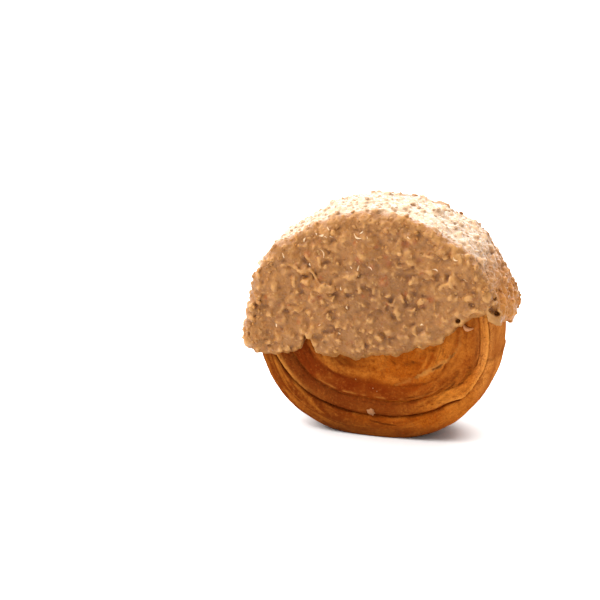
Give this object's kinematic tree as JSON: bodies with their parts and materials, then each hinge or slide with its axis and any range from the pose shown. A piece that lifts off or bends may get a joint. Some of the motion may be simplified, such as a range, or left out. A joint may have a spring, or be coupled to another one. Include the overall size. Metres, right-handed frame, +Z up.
{
  "type": "new york roll",
  "caption": "Round croissant-dough roll standing on its rim, with spiral layers on both faces and its upper part dipped in a chopped-nut praline coat.",
  "frame": {"origin": "on the ground, in the flat spot of the rim that the roll rests on, below the middle of its bounding box", "axes": "+Z up, the spiral front face looks along -Y, and the rim runs round in the XZ plane"},
  "size_m": [0.1174, 0.052, 0.1029],
  "materials": {
    "dough_roll": "golden-brown baked crust, slightly glossy",
    "nut_coat": "tan praline with chopped nuts, semi-gloss"
  },
  "bodies": {
    "root": {"dough_roll": "dough_roll", "nut_coat": "nut_coat"}
  },
  "joints": []
}
